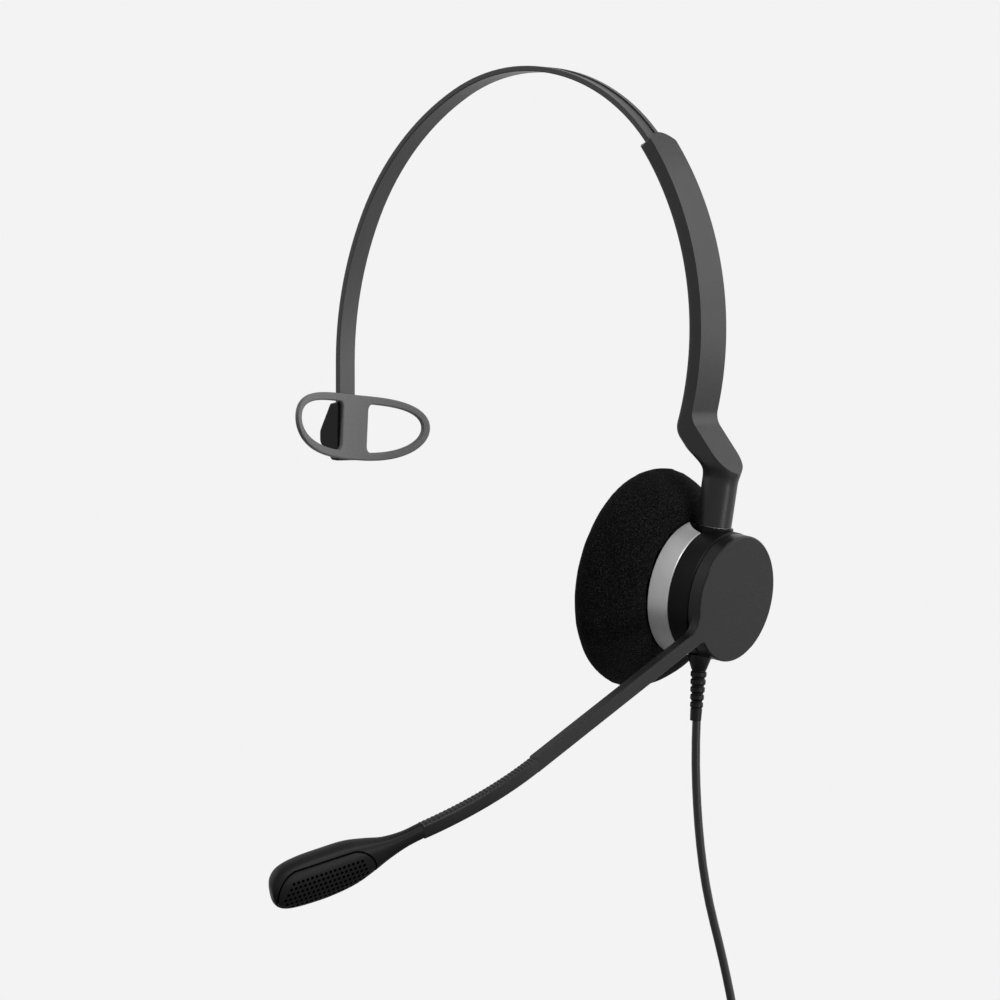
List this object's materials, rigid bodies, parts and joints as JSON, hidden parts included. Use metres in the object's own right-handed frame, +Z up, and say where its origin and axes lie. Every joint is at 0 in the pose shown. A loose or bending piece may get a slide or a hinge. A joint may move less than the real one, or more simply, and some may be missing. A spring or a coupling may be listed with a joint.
{
  "type": "office headset",
  "caption": "Single-ear headset: thin headband with a sliding arm, foam-cushioned ear cup, turning microphone boom, pivoting head rest and a thin cord.",
  "frame": {"origin": "underside of the headband's crown, in the middle of its width", "axes": "+Z up, +X towards the speaker cup, -Y towards the wearer's front, where the boom points"},
  "size_m": [0.1474, 0.1811, 0.336],
  "materials": {
    "band_plastic": "satin charcoal",
    "arm_plastic": "fine-grained matte charcoal",
    "hub_plastic": "fine-grained matte charcoal",
    "drum_plastic": "smooth dark",
    "boom_rubber": "soft matte",
    "mic_plastic": "satin",
    "rest_plastic": "fine-grained matte grey",
    "cover_plastic": "matte black",
    "trim_metal": "satin silver grey",
    "foam": "open-cell foam",
    "felt": "felt",
    "relief_rubber": "matte",
    "cord_rubber": "satin",
    "steel": "bright",
    "dark_steel": "plated",
    "magnet_metal": "plated",
    "brass": "gold plated",
    "board": "solder mask",
    "film": "translucent film",
    "washer_plastic": "slippery white",
    "plug_plastic": "matte"
  },
  "bodies": {
    "headband": {"headband_strip": "band_plastic", "band_end_stop": "cover_plastic", "pivot_block": "cover_plastic"},
    "arm": {"arm_shell": "arm_plastic", "arm_inner_cover": "cover_plastic", "arm_screw": "dark_steel", "detent_spring": "steel", "swivel_pin": "steel", "swivel_clip": "steel", "swivel_washer": "washer_plastic"},
    "speaker_housing": {"swivel_bushing": "washer_plastic", "ear_housing": "drum_plastic", "trim_ring": "trim_metal", "cushion_flange": "cover_plastic", "flange_screws": "dark_steel", "speaker_baffle": "cover_plastic", "speaker_basket": "magnet_metal", "speaker_magnet": "steel", "speaker_diaphragm": "film", "damping_felt": "felt", "ear_cushion": "foam", "terminal_board": "board", "terminal_posts": "drum_plastic", "strain_relief": "relief_rubber", "cord_tube": "cord_rubber", "cord_coil": "cord_rubber", "coil_tie": "relief_rubber", "cord_tail": "cord_rubber", "plug_boot": "relief_rubber", "plug_shell": "plug_plastic", "plug_contacts": "brass", "plug_latch": "plug_plastic"},
    "boom": {"boom_shell": "hub_plastic", "boom_cover": "cover_plastic", "hub_screws": "dark_steel", "hub_friction_ring": "felt", "hub_wave_washer": "steel", "hub_clip": "steel", "flex_sleeve": "boom_rubber", "flex_core": "dark_steel"},
    "microphone": {"mic_housing": "mic_plastic", "mic_cap": "mic_plastic", "mic_capsule": "steel", "mic_boot": "relief_rubber", "mic_foam": "foam"},
    "head_rest": {"rest_frame": "rest_plastic", "rest_rear_cover": "cover_plastic", "rest_pin": "steel", "pivot_washer_front": "washer_plastic", "pivot_washer_back": "washer_plastic"}
  },
  "joints": [
    {"name": "band_adjust", "type": "hinge", "parent": "headband", "child": "arm", "pos_m": [-0.02524, 0, -0.0705], "axis": [0, 1, 0], "range_deg": [0, 22]},
    {"name": "ear_swivel", "type": "hinge", "parent": "arm", "child": "speaker_housing", "pos_m": [0.06156, 0, -0.12279], "axis": [0.1736, 0, 0.9848], "range_deg": [-22, 22]},
    {"name": "boom_turn", "type": "hinge", "parent": "speaker_housing", "child": "boom", "pos_m": [0.06919, 0, -0.14226], "axis": [-0.9848, 0, 0.1736], "range_deg": [-30, 250]},
    {"name": "boom_flex", "type": "hinge", "parent": "boom", "child": "microphone", "pos_m": [0.05782, -0.0968, -0.18962], "axis": [0.1569, -0.4289, 0.8896], "range_deg": [-20, 20], "deforming": ["flex_sleeve", "flex_core"]},
    {"name": "rest_rock", "type": "hinge", "parent": "headband", "child": "head_rest", "pos_m": [-0.06364, 0, -0.09675], "axis": [0, 1, 0], "range_deg": [-8, 8]}
  ]
}
